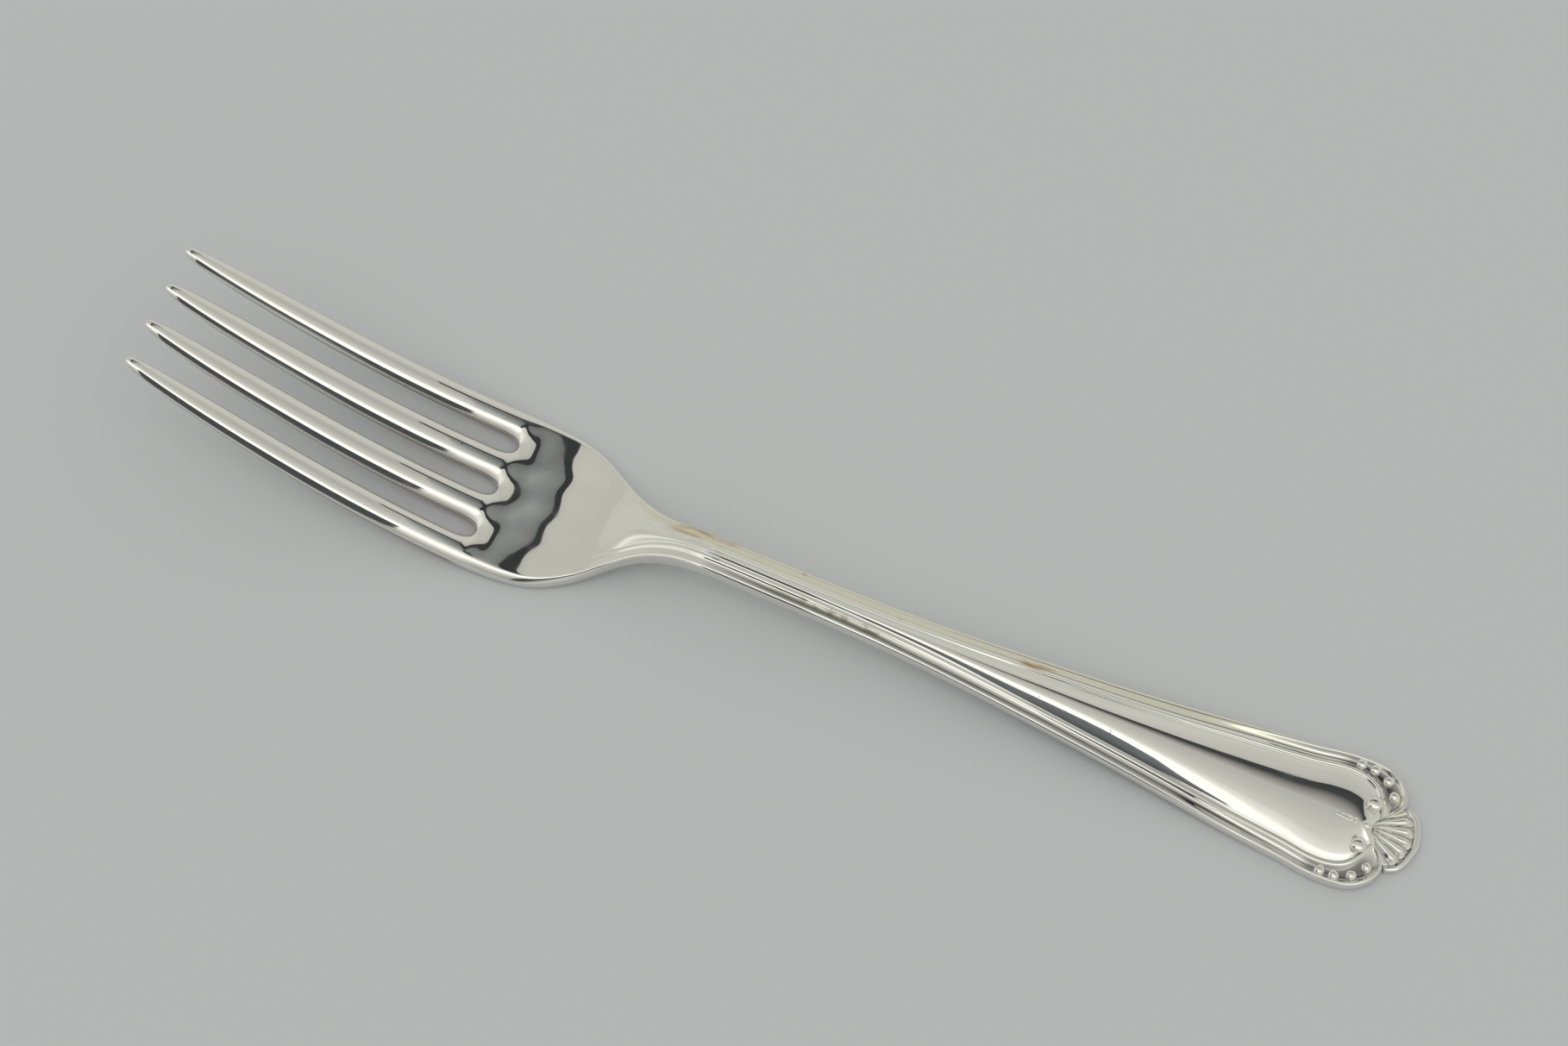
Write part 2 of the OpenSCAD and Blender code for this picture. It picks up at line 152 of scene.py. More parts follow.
# The channel is deeper round the handle's end, where the beads lie in it
END_BORDER = {15: (0.0, -0.5), 14: (0.12, -0.15), 13: (0.38, 0.04), 12: (0.7, -0.02),
              11: (1.0, -0.42), 10: (1.55, -0.56), 9: (2.1, -0.44), 8: (2.45, -0.06),
              7: (2.8, 0.05), 6: (3.08, -0.08), 5: (3.3, -0.3), 4: (3.62, -0.04)}
# The border's section is narrower and lower on the thin stem than on the handle
BORDER_GROWS = (2.9, 10.65)
BORDER_WIDTH = 3.6
# Share of the half width that the border takes where the stem is narrowest
BORDER_SHARE = 0.88
STEM_SCALE = 0.72
STEM_LIFT = 0.85
# The thread is this far in from the edge
THREAD_IN = 2.8
# Share of the way from the border to the middle line, and share of the panel's rise
PANEL = {3: (0.22, 0.37), 2: (0.48, 0.74), 1: (0.74, 0.94), 0: (1.0, 1.0)}
PANEL_RISE = 0.85
# A panel with less than this between border and middle line is lower
PANEL_SPAN = 3.4
# The panel's edge is faint where the stem is narrow
PANEL_EDGE = (4, 5, 6)
PANEL_EDGE_FAINT = 0.15
PANEL_EDGE_GROWS = (3.2, 6.2)

# Stretches along the fork where one form passes into the next
PALM_BLEND = (57, 78)
CROWNS_END = (56.5, 66.5)
DISH_STARTS, DISH_ENDS = (57, 66), (66, 74)
UNEVEN_STARTS, UNEVEN_ENDS = (58.8, 60.8), (67, 72)
RELIEF_STARTS = (73.6, 79.6)
BACK_STARTS, BACK_ENDS = 90, (STEM_END, GRIP_END)
CHANNEL_DEEPENS = (166, 188)

ROOT_HALF = 13.6
# Depth of the root's dish, and rise of the stem's back at its edges as a share of the metal
DISH = 0.35
BACK_ROUND = 0.2
# Metal thinner than this has lower crowns
FULL_METAL = 2.0
# The underside rises at the edge
EDGE = 15
EDGE_RISE = {15: 0.4, 14: 0.12}

# Rows along the blank: tines, slots' ends, root, neck and handle
TINE_ROWS = [0, 0.3, 1.0, 2.5, 5, 8.5, 13, 18, 23, 28, 33, 38, 43, 47.5, 51.2, 53.6, TINE_END]
SLOT_ROW = len(TINE_ROWS)
ROOT_ROWS = [55.4, 56.5, 57.6, 58.8, 60.5, 62.5, 64.5, 66.5, 69, ROOT_END]
NECK_ROWS = [74, 76, 78, 80, 82, 84, 86, 88, 90.5, 93.5, NECK_END]
STEM_ROWS = [102, 107, 112, 117, 122, 127, 132, 137, 142, STEM_END]
GRIP_ROWS = [152.5, 157.5, 162.5, 167.5, 172.5, 177, 181.5, GRIP_END]
ROWS = TINE_ROWS + ROOT_ROWS + NECK_ROWS + STEM_ROWS + GRIP_ROWS

# Rows that fan round the handle's end: a point on the edge, one on the thread and one on the middle line
FAN = [((187.8, 10.1), (187.8, 7.35), 187.2), ((189.6, 10.4), (189.4, 7.66), 188.4),
       ((191.3, 10.57), (191.0, 7.8), 189.5), ((193.0, 10.65), (192.4, 7.8), 190.5),
       ((194.6, 10.63), (193.6, 7.65), 191.4), ((196.1, 10.47), (194.6, 7.38), 192.2),
       ((197.4, 10.15), (195.45, 6.98), 192.9), ((198.6, 9.55), (196.15, 6.45), 193.5),
       ((199.6, 8.75), (196.7, 5.82), 194.0), ((200.4, 7.8), (197.1, 5.15), 194.5),
       ((200.95, 6.75), (197.45, 4.5), 194.9), ((201.25, 5.6), (197.75, 3.9), 195.2),
       ((201.0, 4.65), (198.0, 3.35), 195.5), ((200.35, 3.8), (198.2, 2.85), 195.7),
       ((199.55, 3.0), (198.35, 2.4), 195.9), ((198.75, 2.25), (198.2, 1.75), 196.1),
       ((198.1, 1.4), (197.85, 1.1), 196.3), ((197.5, 0.0), (197.3, 0.0), 196.5)]
FIRST_FAN = len(ROWS)
LAST_ROW = FIRST_FAN + len(FAN) - 1

# The edge is lower where it ends in the scrolls
SCROLL_ROW = FIRST_FAN + 12
SCROLL_EDGE = -0.3

# Patina in the channel under the beads, and the lower edges of the tines where tarnish lies
PATINA = {11: 0.7, 10: 1.0, 9: 0.9}
PATINA_STARTS, PATINA_ENDS = (FIRST_FAN + 0.5, FIRST_FAN + 2.5), (FIRST_FAN + 9, FIRST_FAN + 12)
TARNISH_COLUMNS = (1, 7, 9, 15)
TARNISH_ROWS = range(5, SLOT_ROW - 1)

# Metres from the middle line within which a vertex is on it, and within which the halves are joined
ON_MIDDLE, WELD = 1e-7, 1e-5


def tine_plan(column, x):
    """Place of a column of the tines: y and the drop and rise of its top and underside."""
    u = min(1.0, x / TINE_END)
    spread = 1 - (1 - u) * (1 - TINE_BOW * u)
    size = along(TAPER, x)
    if column in INNER:
        k, mid, half = column - INNER[0], lerp(TIP_INNER, ROOT_INNER, spread), HALF_INNER * size
    elif column in OUTER:
        k, mid, half = column - OUTER[0], lerp(TIP_OUTER, ROOT_OUTER, spread), HALF_OUTER * size
    else:
        return (0.0 if column == 0 else SLOT_Y), CROWN_DROP[0], BELLY_RISE[0]
    return mid + ACROSS[k] * half, CROWN_DROP[k], BELLY_RISE[k]


def border_scale(w):
    grown = lerp(STEM_SCALE, 1.0, rise(w, BORDER_GROWS))
    return grown * min(1.0, BORDER_SHARE * w / (BORDER_WIDTH * STEM_SCALE))


def border_plan(column, edge, thread, middle, scale, lift, deep):
    """Place and height of a column on the line from an edge point by the thread to the middle.

    The columns from 11 out are placed from the edge, 7 to 9 from the thread outwards, 10 between them,
    4 to 6 from the thread inwards, and the rest on the panel.
    """
    border = {k: [lerp(a, b, deep) for a, b in zip(BORDER[k], END_BORDER[k])] for k in BORDER}
    edge, thread, middle = Vector(edge), Vector(thread), Vector((middle, 0.0))
    wide = (edge - thread).length
    fit = min(scale, wide / THREAD_IN)
    lift = min(lift, fit / scale * lift)
    if column >= 11:
        d, h = border[column]
        return edge.lerp(thread, min(1.0, d * fit / wide)), h * lift
    if column == 10:
        near = border[11][0] * fit / wide
        far = 1 - (THREAD_IN - border[9][0]) * fit / wide
        return edge.lerp(thread, (near + far) / 2), border[10][1] * lift
    if column >= 7:
        d, h = border[column]
        return thread.lerp(edge, (THREAD_IN - d) * fit / wide), h * lift
    span = (middle - thread).length
    if column >= 4:
        d, h = border[column]
        return thread.lerp(middle, (d - THREAD_IN) * fit / span), h * lift
    start = (border[4][0] - THREAD_IN) * fit / span
    s, raised = PANEL[column]
    height = border[4][1] * lift + raised * min(1.0, span / PANEL_SPAN) * PANEL_RISE
    return thread.lerp(middle, lerp(start, 1.0, s)), height


def blank_point(row, column, top):
    """Place of one vertex of the blank, on its top or its underside."""
    if row >= FIRST_FAN:
        spot, relief = GRIP_END, 1.0
        place, height = border_plan(column, *FAN[row - FIRST_FAN], 1.0, 1.0, 1.0)
        x, y = place
        if column == EDGE and row >= SCROLL_ROW:
            height = SCROLL_EDGE
    else:
        spot = x = ROWS[row]
        relief = rise(spot, RELIEF_STARTS)
        w = along(HALF_WIDTH, spot)
        scale, deep = border_scale(w), rise(spot, CHANNEL_DEEPENS)
        place, height = border_plan(column, (spot, w), (spot, w - THREAD_IN * scale), spot, scale,
                                    lerp(STEM_LIFT, 1.0, deep), deep)
        y = place.y
        if column in PANEL_EDGE:
            height *= lerp(PANEL_EDGE_FAINT, 1.0, rise(w, PANEL_EDGE_GROWS))
    mid, t = along(SPINE, spot), along(METAL, spot)
    low = max(0.0, mid - t / 2)
    z_top = max(mid + t / 2, low + t) + height * relief
    edge_rise = EDGE_RISE.get(column, 0.0)
    z_low = low + edge_rise
    if spot < PALM_BLEND[1]:
        # The tines' columns blend into the border's columns over the root
        tine_y, drop, belly = tine_plan(column, spot)
        blend = rise(spot, PALM_BLEND)
        w = along(HALF_WIDTH, max(spot, TINE_END))
        y = lerp(tine_y * w / ROOT_HALF if spot > TINE_END else tine_y, y, blend)
        fade = along(SLOT_ROUND, spot) if column in SLOT_EDGES else fall(spot, CROWNS_END)
        if column in EDGE_RISE:
            fade = max(fade, 1 - relief)
        fade *= min(1.0, t / FULL_METAL)
        dish = DISH * (1 - (y / w) ** 2) * rise(spot, DISH_STARTS) * fall(spot, DISH_ENDS)
        z_top = z_top - drop * fade - dish
        z_low = low + max(belly * fade, edge_rise * blend)
        full = along(TIP_ROUND, spot)
        z_top, z_low = mid + (z_top - mid) * full, mid + (z_low - mid) * full
        # The palm isn't quite even
        wave = along(UNEVEN, y) * rise(spot, UNEVEN_STARTS) * fall(spot, UNEVEN_ENDS)
        z_top += along(SPINE, spot + wave) - mid
    if spot > BACK_STARTS and row < FIRST_FAN:
        z_low += BACK_ROUND * t * (y / w) ** 2 * fall(spot, BACK_ENDS)
    for slot_y, side, columns in SLOT_SIDES:
        ring = (row - SLOT_ROW, columns.index(column)) if column in columns else None
        if ring in SLOT_RINGS:
            radius, turn, drop = SLOT_RINGS[ring]
            x = SLOT_MIDDLE + radius * math.cos(math.radians(turn))
            y = slot_y + side * radius * math.sin(math.radians(turn))
            z_top = mid + t / 2 - drop
    return in_frame(x, y, z_top if top else z_low)


def choose(*objects):
    """Selects these objects and nothing else, with the first one active."""
    bpy.ops.object.select_all(action='DESELECT')
    for o in objects:
        o.select_set(True)
    bpy.context.view_layer.objects.active = objects[0]


def unselect_mesh(o):
    """Deselects everything in the mesh of o, and leaves o in object mode."""
    choose(o)
    bpy.ops.object.mode_set(mode='EDIT')
    bpy.ops.mesh.select_mode(type='VERT')
    bpy.ops.mesh.select_all(action='DESELECT')
    bpy.ops.object.mode_set(mode='OBJECT')


def in_edit(o, pick=None):
    """Opens o in edit mode with the faces that pick accepts selected, or all of them."""
    unselect_mesh(o)
    for p in o.data.polygons:
        p.select = pick is None or pick(p)
    bpy.ops.object.mode_set(mode='EDIT')
    bpy.ops.mesh.select_mode(type='FACE')


def extrude_top():
    """Gives the mesh in edit mode a top above it, and leaves edit mode with the top selected."""
    bpy.ops.mesh.select_all(action='SELECT')
    bpy.ops.mesh.extrude_region_move(TRANSFORM_OT_translate={"value": (0, 0, MM)})
    bpy.ops.object.mode_set(mode='OBJECT')


def apply_modifier(o, kind, name, **settings):
    m = o.modifiers.new(name, kind)
    for key, value in settings.items():
        setattr(m, key, value)
    choose(o)
    bpy.ops.object.modifier_apply(modifier=name)


def stored(mesh, name):
    return [d.value for d in mesh.attributes[name].data]


def store(mesh, name, values):
    mesh.attributes.new(name, 'FLOAT', 'POINT').data.foreach_set("value", values)


def make_grid(rows, columns):
    """A grid that knows the row and the column of each vertex."""
    bpy.ops.object.select_all(action='DESELECT')
    bpy.ops.mesh.primitive_grid_add(x_subdivisions=rows, y_subdivisions=columns, size=1)
    o = bpy.context.object
    for name, steps, axis in (("row", rows, 0), ("column", columns, 1)):
        attribute = o.data.attributes.new(name, 'INT', 'POINT')
        for v in o.data.vertices:
            attribute.data[v.index].value = round((v.co[axis] + 0.5) * steps)
    return o


def region_of(row):
    """Index of the region that the faces after this row belong to."""
    if row >= FIRST_FAN - 1:
        return len(REGION_ENDS)
    return next(i for i, end in enumerate(REGION_ENDS) if ROWS[row + 1] <= end)


def make_blank():
    """One half of the fork as a grid of rows and columns, shaped, thickened and mirrored."""
    o = make_grid(LAST_ROW, COLUMNS)
    mesh = o.data
    for name in REGION_NAMES:
        mesh.materials.append(bpy.data.materials.new("region_" + name))
    places = list(zip(stored(mesh, "row"), stored(mesh, "column")))
    cells = [tuple(min(places[v][i] for v in p.vertices) for i in (0, 1)) for p in mesh.polygons]
    for p in mesh.polygons:
        p.material_index = region_of(cells[p.index][0])
    in_edit(o, lambda p: cells[p.index][0] < SLOT_ROW and cells[p.index][1] in SLOT_COLUMNS)
    bpy.ops.mesh.delete(type='FACE')
    extrude_top()
    marks = list(zip([v.select for v in mesh.vertices], stored(mesh, "row"), stored(mesh, "column")))
    for v, (top, row, column) in zip(mesh.vertices, marks):
        v.co = blank_point(row, column, top)
    store(mesh, "tarnish", [float(not top and row in TARNISH_ROWS and column in TARNISH_COLUMNS)
                            for top, row, column in marks])
    store(mesh, "patina", [
        top * PATINA.get(column, 0.0) * rise(row, PATINA_STARTS) * fall(row, PATINA_ENDS)
        for top, row, column in marks])
    # Walls on the middle line are left open for the mirror
    in_edit(o, lambda p: all(abs(mesh.vertices[v].co.y) < ON_MIDDLE for v in p.vertices))
    bpy.ops.mesh.delete(type='FACE')
    bpy.ops.object.mode_set(mode='OBJECT')
    apply_modifier(o, 'MIRROR', "halves", use_axis=(False, True, False), use_clip=True,
                   merge_threshold=WELD)
    apply_modifier(o, 'SUBSURF', "smooth", levels=LEVELS, render_levels=LEVELS)
    bpy.ops.object.shade_smooth()
    return o


def split_regions(blank):
    """Separates the blank into its regions, by their material, with the blank's own normals kept."""
    mesh = blank.data
    kept = mesh.attributes.new("kept_normal", 'FLOAT_VECTOR', 'POINT')
    for i, n in enumerate(mesh.vertex_normals):
        kept.data[i].vector = n.vector
    in_edit(blank)
    bpy.ops.mesh.separate(type='MATERIAL')
    bpy.ops.object.mode_set(mode='OBJECT')
    regions = list(bpy.context.selected_objects)
    return {o.data.materials[o.data.polygons[0].material_index].name: o for o in regions}


def close_ends(o):
    """Fills the open ends of a region, and gives the rest of it the blank's normals."""
    unselect_mesh(o)
    bpy.ops.object.mode_set(mode='EDIT')
    bpy.ops.mesh.select_mode(type='EDGE')
    bpy.ops.mesh.select_non_manifold(use_wire=False, use_multi_face=False, use_non_contiguous=False,
                                     use_verts=False)
    bpy.ops.mesh.edge_face_add()
    bpy.ops.object.mode_set(mode='OBJECT')
    mesh = o.data
    kept = [d.vector.copy() for d in mesh.attributes["kept_normal"].data]
    normals = []
    for p in mesh.polygons:
        p.use_smooth = True
        # Only the filled ends have more than four corners, and they stay flat
        end = len(p.vertices) > 4
        normals += [p.normal if end else kept[mesh.loops[i].vertex_index] for i in p.loop_indices]
    mesh.normals_split_custom_set(normals)
    for name in ("kept_normal", "row", "column"):
        if name in mesh.attributes:
            mesh.attributes.remove(mesh.attributes[name])


def set_piece(o, name, material, *nodes):
    """Names a finished piece, gives it its material and puts it in place of its nodes."""
    o.name = name
    o.data.name = name
    o.data.materials.clear()
    o.data.materials.append(material)
    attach(o, "root")
    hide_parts(*nodes)


def fill_ramp(ramp, stops):
    """Puts stops on a new colour ramp, each one a place from 0 to 1 and a colour."""
    for i, (place, color) in enumerate(stops):
        element = ramp.elements[i] if i < 2 else ramp.elements.new(place)
        element.position = place
        element.color = (*color, 1)


SILVER_COLOR = (0.86, 0.85, 0.81)
YELLOW_COLOR = (0.88, 0.86, 0.69)
BROWN_COLOR = (0.55, 0.36, 0.16)
SPECK_COLOR = (0.1, 0.08, 0.06)
TARNISH_COLOR = (0.34, 0.22, 0.12)
STAIN_COLOR = (0.5, 0.49, 0.4)
FLECK_COLOR = (0.24, 0.22, 0.16)
# Grey of the patina in the hollows, also used for the dark reflection lines painted as shade along the
# near border
PATINA_AND_PAINTED_SHADE_COLOR = (0.2, 0.205, 0.2)

# Where the silver is discoloured or has shade painted on it, in shares of the length: (start, full,
# fading, end)
TINTED = (0.36, 0.4, 0.84, 0.92)
NECK_BLOTCH = (0.4, 0.425, 0.46, 0.485)
BROWN_MARK = (0.68, 0.69, 0.705, 0.715)
STAINED = (0.44, 0.5, 0.56, 0.62)
FLECKED = (0.51, 0.53, 0.575, 0.595)
# The near border's painted shade (dark reflection lines) runs over this stretch
NEAR_BORDER_PAINTED_SHADE = (0.44, 0.5, 0.86, 0.92)
# The near channel, in shares of the half width from the middle line
NEAR_CHANNEL = (-0.85, -0.7, -0.45, -0.3)
# Places across the far side, in millimetres from its edge
TINT_EDGE = (1.5, 2.2)
MARK_WIDTH = (1.0, 1.3, 1.9, 2.2)
# Places across the near side where shade is painted as dark lines, in millimetres from its edge where
# the border has its full width
CHANNEL_BOTTOM = (0.5, 1.6, 1.6, 1.85)
THREAD_FOOT = (2.35, 2.55, 2.55, 2.75)
# Half widths are kept on a colour ramp as shares of the widest, at these places along the fork
WIDEST = 20
WIDTH_STOPS = (60, 72, 80, 90, 118, 147, 186, 200)


def silver():
    """Polished silver plate with fine wear, a yellow tint, brown tarnish, grey patina and painted shade,
    which gives dark reflection lines on the near border.
    """
    m = bpy.data.materials.new("polished_silver")
    m.use_nodes = True
    nodes, links = m.node_tree.nodes, m.node_tree.links
    shader = nodes["Principled BSDF"]
    shader.inputs["Metallic"].default_value = 1.0
    place = nodes.new("ShaderNodeTexCoord").outputs["Object"]
    split = nodes.new("ShaderNodeSeparateXYZ")
    links.new(place, split.inputs[0])

    def math_node(operation, a, b):
        node = nodes.new("ShaderNodeMath")
        node.operation = operation
        for socket, value in zip(node.inputs, (a, b)):
            if isinstance(value, (int, float)):
                socket.default_value = value
            else:
                links.new(value, socket)
        return node.outputs[0]

    def product(first, *factors):
        for factor in factors:
            first = math_node('MULTIPLY', first, factor)
        return first

    def noise(scale, detail, stretch=None):
        """Noise on Object coordinates, with a scale of its own along each axis if stretch is given."""
        node = nodes.new("ShaderNodeTexNoise")
        node.inputs["Scale"].default_value = scale
        node.inputs["Detail"].default_value = detail
        source = place
        if stretch:
            mapping = nodes.new("ShaderNodeMapping")
            mapping.inputs["Scale"].default_value = stretch
            links.new(place, mapping.inputs["Vector"])
            source = mapping.outputs[0]
        links.new(source, node.inputs["Vector"])
        return node.outputs["Fac"]

    def between(value, low, high):
        """Goes smoothly from 0 at low to 1 at high."""
        node = nodes.new("ShaderNodeMapRange")
        node.interpolation_type = 'SMOOTHSTEP'
        node.inputs["From Min"].default_value = low
        node.inputs["From Max"].default_value = high
        links.new(value, node.inputs["Value"])
        return node.outputs["Result"]

    def past(value, low, high):
        """Goes smoothly from 1 at low to 0 at high."""
        return math_node('SUBTRACT', 1.0, between(value, low, high))

    def window(value, places, unit=1):
        """Is 1 between full and fading, and 0 before start and after end."""
        start, full, fading, end = [p * unit for p in places]
        return product(between(value, start, full), past(value, fading, end))

    def mix(factor, a, b):
        node = nodes.new("ShaderNodeMix")
        node.data_type = 'RGBA'
        links.new(factor, node.inputs["Factor"])
        for socket, value in (("A", a), ("B", b)):
            if isinstance(value, tuple):
                node.inputs[socket].default_value = (*value, 1)
            else:
                links.new(value, node.inputs[socket])
        return node.outputs["Result"]

    def attribute(name):
        node = nodes.new("ShaderNodeAttribute")
        node.attribute_name = name
        return node.outputs["Fac"]

    # Half width of the shaft at this place, to tell how far across it a point is
    widths = nodes.new("ShaderNodeValToRGB")
    stops = [(x / LENGTH, along(HALF_WIDTH, x) / WIDEST) for x in WIDTH_STOPS]
    fill_ramp(widths.color_ramp, [(place, (v, v, v)) for place, v in stops])
    share = math_node('DIVIDE', math_node('ADD', split.outputs["X"], LENGTH / 2 * MM), LENGTH * MM)
    links.new(share, widths.inputs["Fac"])
    wide = math_node('MULTIPLY', widths.outputs["Color"], WIDEST * MM)
    across = math_node('DIVIDE', split.outputs["Y"], wide)
    from_far_edge = math_node('SUBTRACT', wide, split.outputs["Y"])
    from_near_edge = math_node('ADD', wide, split.outputs["Y"])
    grown = between(wide, *[w * MM for w in BORDER_GROWS])
    scale = math_node('ADD', STEM_SCALE, math_node('MULTIPLY', grown, 1 - STEM_SCALE))
    depth = math_node('DIVIDE', from_near_edge, scale)

    # A higher number makes finer noise along that axis: streaks run along the fork, specks are round
    streaks = noise(1.0, 4.0, (90, 420, 90))
    spots = between(noise(1.0, 3.0, (260, 500, 200)), 0.66, 0.72)
    flecks = between(noise(1.0, 3.0, (420, 900, 200)), 0.51, 0.58)
    specks = between(noise(620.0, 2.0), 0.755, 0.785)
    far_border = product(past(from_far_edge, *[d * MM for d in TINT_EDGE]), window(share, TINTED))
    near_channel = window(across, NEAR_CHANNEL)
    # Painted shade for dark reflection lines on the near border only: it deepens down the near channel
    # to its bottom, and lies in a thin line under the thread
    deep = math_node('ADD', product(window(depth, CHANNEL_BOTTOM, MM), 0.85),
                     product(window(depth, THREAD_FOOT, MM), 0.5))
    # Each layer covers the ones before it
    color = SILVER_COLOR
    for amount, tint in (
            (product(far_border, 0.75), YELLOW_COLOR),
            (product(window(share, NECK_BLOTCH), between(across, 0.2, 0.5),
                     between(streaks, 0.42, 0.6)), BROWN_COLOR),
            (product(far_border, spots, 0.7), BROWN_COLOR),
            (product(window(share, BROWN_MARK), window(from_far_edge, MARK_WIDTH, MM),
                     between(streaks, 0.4, 0.55), 0.8), BROWN_COLOR),
            (product(near_channel, window(share, STAINED), between(streaks, 0.3, 0.6), 0.75),
             STAIN_COLOR),
            (product(near_channel, window(share, FLECKED), flecks, 0.6), FLECK_COLOR),
            # Painted shade: dark reflection lines along the near border, on the near side only
            (product(deep, window(share, NEAR_BORDER_PAINTED_SHADE)), PATINA_AND_PAINTED_SHADE_COLOR),
            (between(attribute("tarnish"), 0.1, 0.6), TARNISH_COLOR),
            (product(attribute("patina"), 0.9), PATINA_AND_PAINTED_SHADE_COLOR),
            (product(specks, 0.5), SPECK_COLOR)):
        color = mix(amount, color, tint)
    links.new(color, shader.inputs["Base Color"])
    wear = product(between(noise(260.0, 5.0), 0.45, 0.8), 0.06)
    links.new(math_node('ADD', 0.035, wear), shader.inputs["Roughness"])
    # Old polish is never quite even
    bump = nodes.new("ShaderNodeBump")
    bump.inputs["Strength"].default_value = 0.25
    bump.inputs["Distance"].default_value = 0.04 * MM
    links.new(noise(160.0, 2.0), bump.inputs["Height"])
    links.new(bump.outputs["Normal"], shader.inputs["Normal"])
    return m


SILVER = silver()
parts = split_regions(make_blank())
in_edit(parts["region_tines"])
bpy.ops.mesh.separate(type='LOOSE')
bpy.ops.object.mode_set(mode='OBJECT')


def middle_across(o):
    return sum(v.co.y for v in o.data.vertices) / len(o.data.vertices)


# The tines are counted from the far side
for i, tine in enumerate(sorted(bpy.context.selected_objects, key=middle_across, reverse=True)):
    close_ends(tine)
    set_piece(tine, "tine_%d_metal" % (i + 1), SILVER, "tine_%d" % (i + 1))
for name in REGION_NAMES[1:]:
    part = parts["region_" + name]
    close_ends(part)
    set_piece(part, name + "_metal", SILVER, name)


def finish_mesh(o, levels=0):
    """Applies the place and size of o, smooths it and leaves it at the origin."""
    choose(o)
    bpy.ops.object.transform_apply(location=True, rotation=True, scale=True)
    if levels:
        apply_modifier(o, 'SUBSURF', "smooth", levels=levels, render_levels=levels)
    bpy.ops.object.shade_smooth()
    return o


def domes(name, size, places):
    """Bosses, round or long: a ball pressed to size (mm), and a copy of it for each further place."""
    bpy.ops.object.select_all(action='DESELECT')
    bpy.ops.mesh.primitive_uv_sphere_add(segments=32, ring_count=16, radius=MM)
    first = bpy.context.object
    first.name = name
    first.scale = [v / 2 for v in size]
    bosses = [first]
    while len(bosses) < len(places):
        choose(first)
        bpy.ops.object.duplicate()
        bosses.append(bpy.context.object)
    for boss, place in zip(bosses, places):
        boss.location = in_frame(*place)
        finish_mesh(boss)
    return bosses


def join(objects):
    choose(*objects)
    bpy.ops.object.join()
    return objects[0]


# Beads in the channel of the border, from the shoulder to the shell
BEADS = [(192.7, 9.2, 1.45), (194.9, 9.1, 1.45), (197.3, 8.1, 1.45), (198.95, 6.1, 1.5)]
BEAD = (1.75, 1.75, 1.2)
beads = join(domes("bead", BEAD, [(x, side * y, z) for x, y, z in BEADS for side in (1, -1)]))
set_piece(beads, "beads_metal", SILVER, "beads")

# Round bosses at the ends of the border's scrolls
EYE_X, EYE_Y, EYE_Z = 196.7, 3.55, 2.5
EYE = (2.5, 2.5, 1.2)
eyes = join(domes("scroll_eye", EYE, [(EYE_X, side * EYE_Y, EYE_Z) for side in (1, -1)]))
set_piece(eyes, "scroll_eyes_metal", SILVER, "scroll_eyes")

# Dart on the middle line with a pearl behind it: (name, size, place)
DART = [("dart_point", (3.0, 0.52, 0.96), (193.2, 0.0, 2.7)),
        ("dart_blade", (1.7, 0.72, 1.0), (193.9, 0.0, 2.72)),
        ("dart_pearl", (0.78, 0.78, 0.96), (194.95, 0.0, 2.68))]
dart = join([boss for name, size, place in DART for boss in domes(name, size, [place])])
set_piece(dart, "dart_metal", SILVER, "dart")

# Fluted shell: a fan of rings about its hub, five flutes with round ends inside a plain rim
HUB_X = 197.2
FLUTES = 5
FLUTE_STEPS = 8
EDGE_STEPS = 4
FAN_STEPS = FLUTES * FLUTE_STEPS + 2 * EDGE_STEPS
RADII = [0.4, 1.0, 1.6, 2.2, 2.8, 3.4, 4.0, 4.6, 5.2, 5.6, 5.95, 6.25, 6.45, 6.65, 6.9, 7.2, 7.5,
         7.66, 7.72]
OUTLINE = [(0, 7.8), (7, 7.7), (13.7, 7.62), (22.2, 7.67), (30.6, 7.68), (37, 7.62), (43.9, 7.32),
           (50.2, 7.0)]
FAN_HALF = [(0.4, 78), (1.7, 72), (2.7, 64), (4.0, 56), (5.1, 53), (7.8, 51)]
# Height of the shell's body, which rises to the hub over the first two thirds of the radius
SHELL_BODY, HUB_RISE, HUB_STEEP = 1.42, 0.28, 1.5
# Depth and rise of the flutes, and how far they swing out
FLUTE_BOTTOM, FLUTE_RISE, FLUTE_SWING = 0.42, 0.8, 0.1
# The flutes rise over this share of the radius, and their round ends lie between these radii
FLUTES_START, LOBE_START, LOBE_END = 0.2, 5.3, 6.5
# Rise of the plain strip beside the flutes, and the rim round them
SIDE_RISE = 0.1
RIM_FOOT, RIM_RISE, RIM_WIDTH, RIM_EDGE = 1.02, 0.22, 1.25, 0.95
RIM = len(RADII) - 1
# The underside rises at the rim
RIM_BACK = {RIM: 0.4, RIM - 1: 0.1}
# Patina lies in the grooves between the flutes and under the rim
GROOVE_RINGS = range(3, 13)
RIM_GROOVE = 13
GROOVE_PATINA = 0.8


